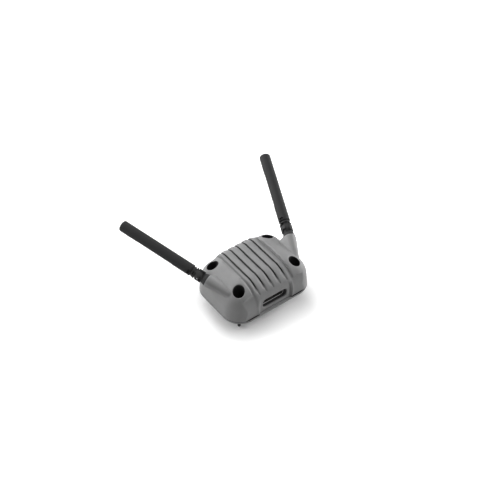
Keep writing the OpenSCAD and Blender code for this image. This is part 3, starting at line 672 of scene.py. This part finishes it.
def turned(name, outline, sides=64):
    """A turned solid: a round face drawn up through the (radius, height) points of its outline."""
    start_piece()
    radius, height = outline[0]
    bpy.ops.mesh.primitive_circle_add(
        vertices=sides, radius=radius * MM, fill_type="NGON", location=(0, 0, height * MM))
    piece = name_piece(name)
    bpy.ops.object.mode_set(mode="EDIT")
    bpy.ops.mesh.select_all(action="SELECT")
    for next_radius, next_height in outline[1:]:
        bpy.ops.mesh.extrude_region_move(
            TRANSFORM_OT_translate={"value": (0, 0, (next_height - height) * MM)})
        ratio = next_radius / radius
        bpy.ops.transform.resize(value=(ratio, ratio, 1))
        radius, height = next_radius, next_height
    face_outwards(piece)
    settle(piece)
    return piece


def threaded_shank():
    """Helical thread: one closed strip of rings that rise a thread pitch in each turn."""
    steps, inner_radius = 32, 1.0
    profile = [(thread_core, 0.0), (thread_radius, 0.19), (thread_radius, 0.27), (thread_core, 0.46)]
    count = int(round((thread_top - screw_tip - pitch) / pitch * steps))
    points, faces = [], []
    for i in range(count + 1):
        turn, climb = 2 * math.pi * i / steps, screw_tip + pitch * i / steps
        run_in = min(1, 0.35 + 0.65 * i / (1.5 * steps), 0.35 + 0.65 * (count - i) / steps)
        ring = [(thread_core + (radius - thread_core) * run_in, lift) for radius, lift in profile]
        for radius, lift in ring + [(inner_radius, 0.23)]:
            points.append((radius * math.cos(turn), radius * math.sin(turn), climb + lift))
    size = len(profile) + 1
    for start in range(0, count * size, size):
        for k in range(size):
            a, b = start + k, start + (k + 1) % size
            faces.append((a, a + size, b + size, b))
    faces.append(tuple(range(size)))
    faces.append(tuple(range(len(points) - 1, len(points) - 1 - size, -1)))
    mesh = bpy.data.meshes.new("thread")
    mesh.from_pydata((np.array(points) * MM).tolist(), [], faces)
    piece = bpy.data.objects.new("thread", mesh)
    bpy.context.scene.collection.objects.link(piece)
    face_outwards(piece)
    return piece


screw = turned("mounting_screw", [
    (0.95, screw_tip), (1.25, screw_tip + 0.3), (1.25, thread_top), (shank_radius, thread_top + 0.05),
    (shank_radius, screw_seat), (head_radius - 0.25, screw_seat), (head_radius, screw_seat + 0.25),
    (head_radius, head_top - 0.35), (head_radius - 0.3, head_top)], 48)
cut_with(screw, drill(socket_radius, head_top - 1.5, head_top + 1.5, sides=6))
soften(screw, 0.06)
thread = threaded_shank()
pick(screw)
thread.select_set(True)
bpy.ops.object.join()
smooth(screw)
screw.data.materials.append(screw_black)
washer = turned("mounting_washer", [
    (washer_radius - 0.25, washer_low), (washer_radius, washer_low + 0.1), (washer_radius, washer_high - 0.1),
    (washer_radius - 0.25, washer_high)], 48)
cut_with(washer, drill(washer_hole, 6, 9, sides=32))
soften(washer, 0.06)
washer.data.materials.append(bright_steel)


def copy_at(piece, name, x, y):
    """Repeat a finished piece with a mesh of its own, and set it in its place."""
    pick(piece)
    bpy.ops.object.duplicate()
    twin = name_piece(name)
    bpy.ops.transform.translate(value=(x * MM, y * MM, 0))
    settle(twin)
    return twin


corner_posts = [(-stud_x, -stud_y), (stud_x, -stud_y), (stud_x, stud_y), (-stud_x, stud_y)]
for i, (x, y) in enumerate(corner_posts):
    corner_screw = copy_at(screw, f"corner_screw_{i + 1}", x, y)
    corner_washer = copy_at(washer, f"corner_washer_{i + 1}", x, y)
    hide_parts("mounting_screws")
    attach(corner_screw, "housing")
    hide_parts("mounting_washers")
    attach(corner_washer, "housing")
bpy.data.objects.remove(screw)
bpy.data.objects.remove(washer)


# Antenna collars. A conical flange of black glass-filled plastic sits on each boss, its shank pressed in.
# Each hinge and antenna is shaped once, upright over the boss mouth, and then set on its boss.
collar_radius, collar_top, shank_out, shank_low, ring_seat = 5.4, 4.7, 3.8, -6, 3.3
hinge_black = finish_coat("hinge moulding", (0.038, 0.038, 0.039), 0.65, grain=0.3, relief=0.025,
                          wear_and_highlight=0.25, specular=0.3)
splay, rise = math.radians(22.6), math.radians(14.8)
on_boss = (Matrix.Translation(Vector(mouth.tolist()) * MM) @ Matrix.Rotation(-splay, 4, "Z")
           @ Matrix.Rotation(rise - math.pi / 2, 4, "X"))
pocket_turn = {"right": math.radians(-40), "left": math.radians(70)}


def pair(piece, finish, node, body, shape_side=None):
    """Set a finished hinge piece on the right boss and its mirror twin on the left one."""
    for side in ("right", "left"):
        pick(piece)
        bpy.ops.object.duplicate()
        twin = name_piece(f"{side}_{piece.name}")
        if shape_side:
            shape_side(twin, pocket_turn[side])
        twin.data.materials.clear()
        twin.data.materials.append(finish)
        smooth(twin)
        twin.matrix_world = on_boss
        settle(twin)
        if side == "left":
            bpy.ops.transform.mirror(constraint_axis=(True, False, False), center_override=(0, 0, 0))
            settle(twin)
            face_outwards(twin)
        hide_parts(f"{side}_{node}")
        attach(twin, body.format(side=side))
    bpy.data.objects.remove(piece)


collar = turned("collar_moulding", [
    (shank_out - 0.2, shank_low), (shank_out, shank_low + 0.2), (shank_out, -2.9), (ring_seat, -2.9),
    (ring_seat, -1.9), (shank_out, -1.9), (shank_out, 0), (collar_radius - 0.2, 0), (collar_radius, 0.2),
    (collar_radius, 0.6), (collar_top + 0.2, 2.75), (collar_top, 3)])
cut_with(collar, drill(2.55, -7, 4))
soften(collar, 0.08)
pair(collar, hinge_black, "collar", "housing")
for side in ("left", "right"):
    coat_node(f"{side}_o_ring", rubber)
    coat_node(f"{side}_clip", bright_steel)


# Swivels. The stepped knuckle of black glass-filled plastic turns in its collar. Its fork takes the tongue
# of the antenna, a groove runs round its shoulder, and a moulded pocket lightens its foot.
pin_height, slot_floor, slot_tall, fork_gap, pin_bore = 8.3, 4.2, 14, 4.4, 1.26
knuckle_radius, knuckle_top, waist_radius, stem_radius, feed_bore = 5.4, 13.6, 4.6, 2.5, 0.95
ear_radius, groove_low, groove_high, groove_radius = 5.3, 10.7, 12.3, 4.3
pocket_height, pocket_width, pocket_tall, pocket_depth = 5.7, 4.6, 2.8, 1.5


def cross_bar(radius, length, sides=48):
    """A round bar across the antenna, centred on the hinge pin."""
    start_piece()
    bpy.ops.mesh.primitive_cylinder_add(vertices=sides, radius=radius * MM, depth=length * MM,
                                        location=(0, 0, pin_height * MM), rotation=(0, math.pi / 2, 0))
    bar = bpy.context.object
    settle(bar)
    return bar


def sink_sideways(piece, cutter, turn, depth, radius, height):
    """Sink an upright cutter into the side of a round piece, at a turn about its axis."""
    cutter.matrix_world = (Matrix.Rotation(turn, 4, "Z")
                           @ Matrix.Translation(Vector((0, depth - radius, height)) * MM)
                           @ Matrix.Rotation(math.pi / 2, 4, "X"))
    settle(cutter)
    cut_with(piece, cutter)


def swivel_pocket(piece, turn):
    """The round-ended pocket that lightens the foot of the knuckle."""
    cutter = slab(pocket_width, pocket_tall, pocket_tall * 0.42, 0, 4, steps=6)
    sink_sideways(piece, cutter, turn, pocket_depth, knuckle_radius, pocket_height)


swivel = turned("swivel_moulding", [
    (stem_radius - 0.15, -7.3), (stem_radius, -7.15), (stem_radius, 3.2), (waist_radius - 0.25, 3.2),
    (waist_radius, 3.4), (waist_radius, 4.8), (knuckle_radius - 0.25, 4.8), (knuckle_radius, 5.05),
    (knuckle_radius, knuckle_top)])
ears = cross_bar(ear_radius, 14, 96)
combine(ears, turned("foot", [(7, -9), (7, pin_height)], 96), "UNION")
combine(swivel, ears, "INTERSECT")
start_piece()
bpy.ops.mesh.primitive_cube_add(size=MM, location=(0, 0, (slot_floor + slot_tall / 2) * MM),
                                scale=(fork_gap, 24, slot_tall))
cut_with(swivel, bpy.context.object)
cut_with(swivel, cross_bar(pin_bore, 14))
cut_with(swivel, drill(feed_bore, -9, 5, sides=32))
ring_cut = turned("ring_cut", [(7, groove_low), (7, groove_high)])
cut_with(ring_cut, drill(groove_radius, 9, 13))
cut_with(swivel, ring_cut)
pick(swivel)
bpy.ops.object.mode_set(mode="EDIT")
bpy.ops.mesh.select_all(action="SELECT")
bpy.ops.mesh.remove_doubles(threshold=0.004 * MM)
bpy.ops.object.mode_set(mode="OBJECT")
soften(swivel, 0.14)
pair(swivel, hinge_black, "swivel", "{side}_knuckle", swivel_pocket)


# Hinge pins. A polished steel pin with chamfered ends passes through fork and tongue.
# It is pressed into the fork and turns in the tongue.
pin_steel = finish_coat("ground steel", (0.5, 0.5, 0.52), 0.3, grain=0.08, relief=0.003, metal=1.0)
pin = turned("pin_turning", [(1.0, -4.7), (1.25, -4.4), (1.25, 4.4), (1.0, 4.7)], 48)
pick(pin)
pin.matrix_world = Matrix.Translation((0, 0, pin_height * MM)) @ Matrix.Rotation(math.pi / 2, 4, "Y")
settle(pin)
soften(pin, 0.06)
pair(pin, pin_steel, "hinge_pin", "{side}_knuckle")


# Antenna tongues. Each antenna ends in a round tongue on a short neck, with a spigot that holds the sleeve.
# Tongue, neck and spigot are one moulding of black glass-filled plastic, with a bore for the feed.
tongue_radius, tongue_width, tongue_bore, tongue_feed = 3.9, 4.2, 1.3, 0.9
bridge_middle, bridge_width, bridge_tall, spigot_radius, spigot_top = 11.3, 7.2, 6, 3.78, 22.4
tongue = cross_bar(tongue_radius, tongue_width, 96)
name_piece("tongue_moulding")
start_piece()
bpy.ops.mesh.primitive_cube_add(size=MM, location=(0, 0, bridge_middle * MM),
                                scale=(tongue_width - 0.01, bridge_width, bridge_tall))
combine(tongue, bpy.context.object, "UNION")
combine(tongue, turned("neck", [
    (3.9, 13.8), (4.4, 13.95), (4.75, 14.2), (4.75, 15.1), (4.3, 15.4), (4.2, 16.48), (spigot_radius, 16.48),
    (spigot_radius, spigot_top)]), "UNION")
cut_with(tongue, cross_bar(tongue_bore, 6))
cut_with(tongue, drill(tongue_feed, 13, 24, sides=32))
soften(tongue, 0.12)
pair(tongue, hinge_black, "tongue", "{side}_antenna")


# Antenna sleeves. A long tube of satin black plastic, rounded and closed at its tip, with a shallow flat
# moulded along one side and a notch at its foot. It is glued over the spigot of its tongue.
aerial_black = finish_coat("aerial moulding", (0.038, 0.038, 0.039), 0.7, grain=0.3, relief=0.02,
                           wear_and_highlight=0.15, specular=0.25)
sleeve_foot, sleeve_tip, sleeve_radius, tip_radius, tip_round = 16.5, 93.1, 5.35, 5.28, 2.2
foot_notch_width, foot_notch_tall, foot_notch_depth = 4.3, 2.6, 1.45
flat_width, flat_length, flat_depth, flat_turn = 8, 38, 0.4, math.radians(60)
round_centre, round_height = tip_radius - tip_round, sleeve_tip - tip_round
tip_arc = [(round_centre + tip_round * math.cos(a), round_height + tip_round * math.sin(a))
           for a in (math.radians(10 * k) for k in range(9))]
sleeve_foot_edge = [(sleeve_radius - 0.25, sleeve_foot), (sleeve_radius, sleeve_foot + 0.25)]
sleeve = turned("sleeve_moulding", sleeve_foot_edge + [(sleeve_radius, 20)] + tip_arc, 96)
cut_with(sleeve, turned("bore", [(3.88, 15), (3.88, 22.5), (3.7, 23.5), (3.7, 90.5)]))


def flat_and_notch(piece, turn):
    """The notch at the foot of a sleeve and the shallow flat above it."""
    notch = slab(foot_notch_width, foot_notch_tall, foot_notch_tall * 0.42, 0, 4, steps=6)
    sink_sideways(piece, notch, turn, foot_notch_depth, sleeve_radius, sleeve_foot + 1.5)
    flat = slab(flat_width, flat_length, 3.5, 0, 4, steps=8)
    sink_sideways(piece, flat, turn + math.copysign(flat_turn, turn), flat_depth, sleeve_radius,
                  sleeve_foot + flat_length)
    soften(piece, 0.12)


pair(sleeve, aerial_black, "sleeve", "{side}_antenna", flat_and_notch)


# Radiators. A brass tube and rod run up inside each sleeve.
# They keep the shape of their node.
for side in ("left", "right"):
    coat_node(f"{side}_dipole", brass)


# Stage. A plain white floor under the tips of the screws. Its glow weakens towards the object, a painted
# shadow round the foot on top of the real contact shadow. Broad lamps stand behind and on the left, with
# weaker ones on the right.
start_piece()
bpy.ops.mesh.primitive_plane_add(size=6, location=(0, 0, screw_tip * MM))
floor = name_piece("floor")
settle(floor)
paper = bpy.data.materials.new("white paper")
paper.use_nodes = True
tree = paper.node_tree
tree.nodes.remove(tree.nodes["Principled BSDF"])
seen = tree.nodes.new("ShaderNodeLightPath").outputs
through = sums(tree, "MAXIMUM", sums(tree, "MAXIMUM", seen["Is Camera Ray"], seen["Is Glossy Ray"]),
               seen["Is Transmission Ray"])
matt = tree.nodes.new("ShaderNodeBsdfDiffuse")
matt.inputs["Color"].default_value = (0.93, 0.93, 0.93, 1)
ground = tree.nodes.new("ShaderNodeTexCoord").outputs["Object"]
beyond = [sums(tree, "MAXIMUM", sums(
    tree, "SUBTRACT", sums(tree, "ABSOLUTE", place_along(tree, ground, axis)), half), 0)
          for axis, half in ((0, foot_length / 2 - foot_corner), (1, foot_width / 2 - foot_corner))]
# Painted shadow: the floor's glow is cut back near the foot of the object.
painted_shadow_fade = passage(tree, hypotenuse(tree, *beyond), foot_corner - 14, foot_corner + 20)
glow = tree.nodes.new("ShaderNodeEmission")
glow.inputs["Color"].default_value = (1, 1, 1, 1)
tree.links.new(sums(tree, "MULTIPLY", painted_shadow_fade, 0.6), glow.inputs["Strength"])
both = tree.nodes.new("ShaderNodeAddShader")
tree.links.new(matt.outputs[0], both.inputs[0])
tree.links.new(glow.outputs[0], both.inputs[1])
dull = tree.nodes.new("ShaderNodeBsdfDiffuse")
dull.inputs["Color"].default_value = (0.3, 0.3, 0.3, 1)
choose = tree.nodes.new("ShaderNodeMixShader")
tree.links.new(through, choose.inputs[0])
tree.links.new(dull.outputs[0], choose.inputs[1])
tree.links.new(both.outputs[0], choose.inputs[2])
tree.links.new(choose.outputs[0], tree.nodes["Material Output"].inputs["Surface"])
floor.data.materials.append(paper)

sky = bpy.data.worlds.new("studio")
bpy.context.scene.world = sky
sky.use_nodes = True
sky_nodes, sky_links = sky.node_tree.nodes, sky.node_tree.links
dim = sky_nodes["Background"]
dim.inputs["Color"].default_value = (1, 1, 1, 1)
dim.inputs["Strength"].default_value = 0.01
white = sky_nodes.new("ShaderNodeBackground")
white.inputs["Strength"].default_value = 1
look = sky_nodes.new("ShaderNodeLightPath")
pick_sky = sky_nodes.new("ShaderNodeMixShader")
sky_links.new(look.outputs["Is Camera Ray"], pick_sky.inputs[0])
sky_links.new(dim.outputs[0], pick_sky.inputs[1])
sky_links.new(white.outputs[0], pick_sky.inputs[2])
sky_links.new(pick_sky.outputs[0], sky_nodes["World Output"].inputs["Surface"])


def direction(turn, rise):
    """Unit vector from the object towards a place around it, turn and rise in degrees."""
    turn, rise = math.radians(turn), math.radians(rise)
    return Vector((math.sin(turn) * math.cos(rise), -math.cos(turn) * math.cos(rise), math.sin(rise)))


lamp_distance, lamp_size = 1.2, 0.7
for name, turn, rise, watts in (("left", -122, 36, 4.1), ("back_left", -150, 18, 6.1), ("back", 180, 30, 2.9),
                                ("back_high", 180, 55, 4.0), ("front_high", 0, 55, 2.7),
                                ("front_right", 60, 30, 3.9), ("right", 90, 12, 7.6)):
    start_piece()
    bpy.ops.object.light_add(type="AREA", location=direction(turn, rise) * lamp_distance)
    lamp = bpy.context.object
    lamp.name = name
    lamp.data.shape = "DISK"
    lamp.data.size = lamp_size
    lamp.data.energy = watts
    lamp.rotation_euler = direction(turn, rise).to_track_quat("Z", "Y").to_euler()

aim, camera_distance = Vector((2.29, 8.26, 37.7)) * MM, 0.9243
towards_camera = direction(-36.83, 44.94)
bpy.ops.object.camera_add()
camera = bpy.context.object
camera.name = "camera"
camera.location = aim + towards_camera * camera_distance
camera.rotation_euler = towards_camera.to_track_quat("Z", "Y").to_euler()
camera.data.sensor_width = 36
camera.data.lens = 74.13
bpy.context.scene.camera = camera
bpy.context.scene.view_settings.view_transform = "Standard"
